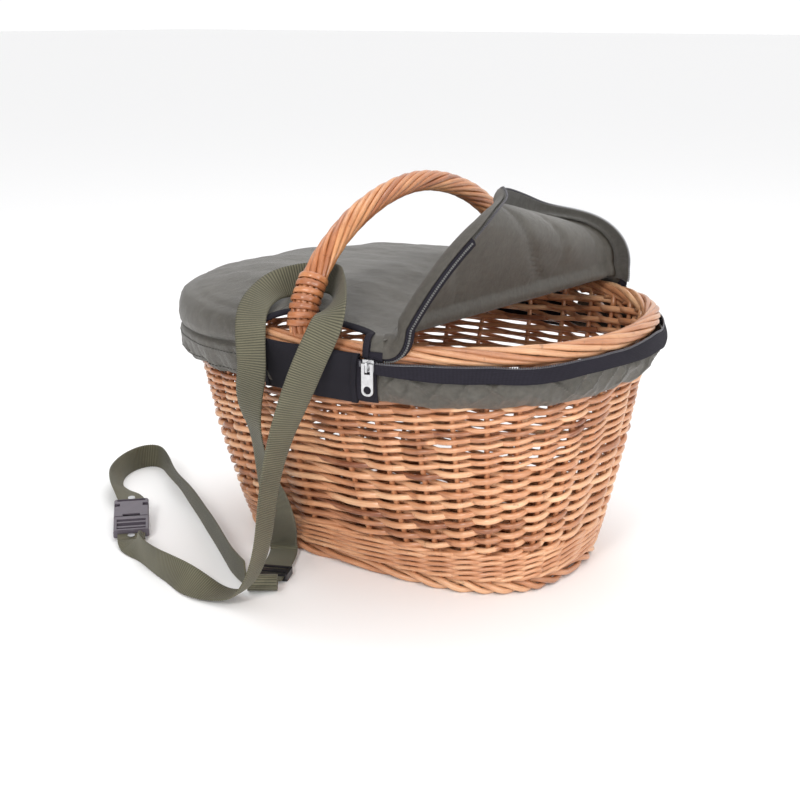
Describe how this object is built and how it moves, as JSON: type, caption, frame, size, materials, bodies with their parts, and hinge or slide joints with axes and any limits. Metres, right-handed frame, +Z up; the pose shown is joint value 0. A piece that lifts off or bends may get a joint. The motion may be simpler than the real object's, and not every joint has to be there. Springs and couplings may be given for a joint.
{
  "type": "lidded willow basket",
  "caption": "Oval woven willow carrying basket with a bow handle, a fitted zipped fabric cover with a fold-back lid, and a webbing shoulder strap.",
  "frame": {"origin": "centre of the basket's outline on the surface it stands on", "axes": "+X along the basket's long side towards the end that opens, +Y towards the back handle foot, +Z up"},
  "size_m": [0.5568, 0.413, 0.3345],
  "materials": {
    "wicker": "smooth peeled willow, brown",
    "wicker_rod": "smooth willow rod",
    "cover_fabric": "coated woven polyester, grey olive",
    "elastic": "elastic cord",
    "black_webbing": "twill webbing",
    "zip_tape": "woven tape",
    "zip_coil": "nylon coil",
    "zip_metal": "bright nickel plate",
    "strap_webbing": "ribbed webbing, olive",
    "buckle_plastic": "moulded acetal"
  },
  "bodies": {
    "root": {"base_weave": "wicker", "side_wale_lower": "wicker", "side_weave": "wicker", "side_weave_upper": "wicker", "rim_border": "wicker", "foot_border": "wicker", "handle_rods": "wicker", "base_sticks_long": "wicker_rod", "base_sticks_cross": "wicker_rod", "stakes": "wicker_rod", "handle_bow": "wicker_rod", "handle_binding_front": "wicker_rod", "handle_binding_back": "wicker_rod", "cover_skirt_left": "cover_fabric", "cover_skirt_right": "cover_fabric", "lid_fixed": "cover_fabric", "lid_border": "cover_fabric", "hem_elastic": "elastic", "handle_panel_front": "black_webbing", "handle_panel_back": "black_webbing", "notch_binding_front": "black_webbing", "notch_binding_back": "black_webbing", "zip_tape_lower": "zip_tape", "zip_coil_lower": "zip_coil", "zip_stop": "zip_metal", "buckle_rivet_female": "zip_metal", "strap_main": "strap_webbing", "strap_tail": "strap_webbing", "strap_roll": "strap_webbing", "buckle_female": "buckle_plastic"},
    "lid_flap": {"lid_flap": "cover_fabric", "zip_tape_flap": "zip_tape", "zip_coil_flap": "zip_coil"},
    "lid_end": {"lid_end": "cover_fabric", "zip_tape_end": "zip_tape", "zip_coil_end": "zip_coil"},
    "zip_slider": {"zip_slider": "zip_metal"},
    "zip_puller": {"zip_puller": "zip_metal"},
    "strap_adjuster": {"strap_adjuster": "buckle_plastic"},
    "buckle_male": {"buckle_male": "buckle_plastic", "strap_end_male": "strap_webbing", "buckle_rivet_male": "zip_metal"}
  },
  "joints": [
    {"name": "lid_fold", "type": "hinge", "parent": "root", "child": "lid_flap", "pos_m": [0.0887, -0.1694, 0.2298], "axis": [-0.0684, -0.9977, 0], "range_deg": [-71.6, 15]},
    {"name": "lid_end_fold", "type": "hinge", "parent": "lid_flap", "child": "lid_end", "pos_m": [0.11894, -0.11399, 0.3091], "axis": [0.0159, -0.9689, 0.2471], "range_deg": [-77.45, 16.3]},
    {"name": "zip_travel", "type": "hinge", "parent": "root", "child": "zip_slider", "pos_m": [0.02951, 0.03906, 0.212], "axis": [0, 0, 1], "range_deg": [0, 15]},
    {"name": "puller_swing", "type": "hinge", "parent": "zip_slider", "child": "zip_puller", "pos_m": [0.08107, -0.17858, 0.2124], "axis": [-0.9731, -0.2305, 0], "range_deg": [-4, 140]},
    {"name": "buckle_release", "type": "slide", "parent": "root", "child": "buckle_male", "axis": [0.7185, -0.6848, -0.1218], "range_m": [0, 0.009]},
    {"name": "adjuster_slide", "type": "slide", "parent": "root", "child": "strap_adjuster", "axis": [0.4108, -0.9117, 0], "range_m": [-0.011, 0.004]}
  ],
  "couplings": [
    {"joint": "lid_end_fold", "follows": "lid_fold", "ratio": 1.081}
  ]
}
